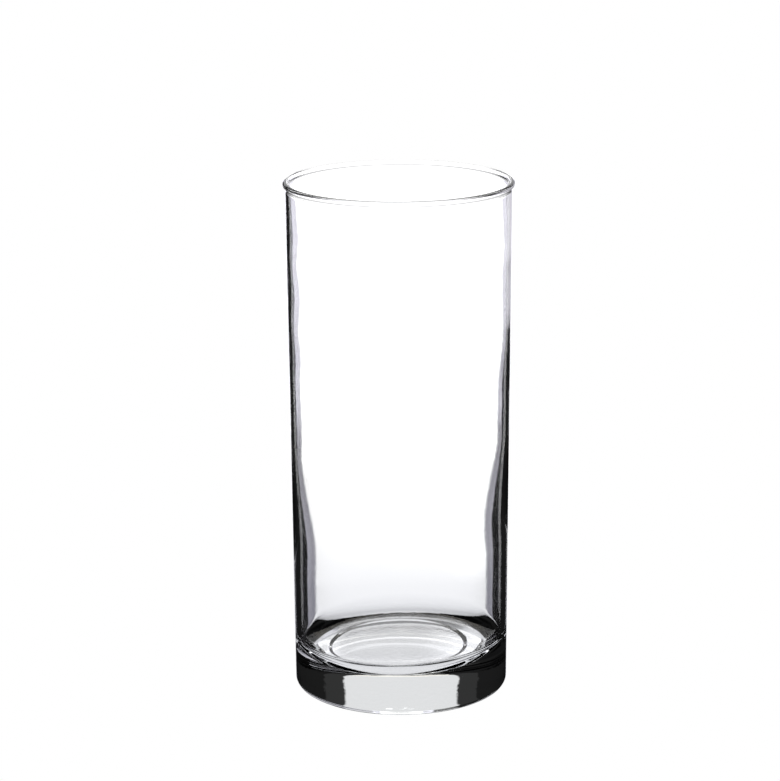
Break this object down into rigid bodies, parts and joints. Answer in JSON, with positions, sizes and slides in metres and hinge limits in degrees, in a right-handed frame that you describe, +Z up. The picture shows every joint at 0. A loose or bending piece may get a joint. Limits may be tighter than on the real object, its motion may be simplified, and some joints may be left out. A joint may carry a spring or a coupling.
{
  "type": "highball glass",
  "caption": "Tall straight clear drinking glass with a beaded rim, a wall that thickens on the inside towards the foot, and a heavy solid base to stand on.",
  "frame": {"origin": "centre of the foot, on the surface that the glass stands on", "axes": "+Z up along the axis of the glass, towards the rim"},
  "size_m": [0.0658, 0.0658, 0.15],
  "materials": {
    "clear_glass": "clear, fire-polished"
  },
  "bodies": {
    "root": {"highball_glass": "clear_glass"}
  },
  "joints": []
}
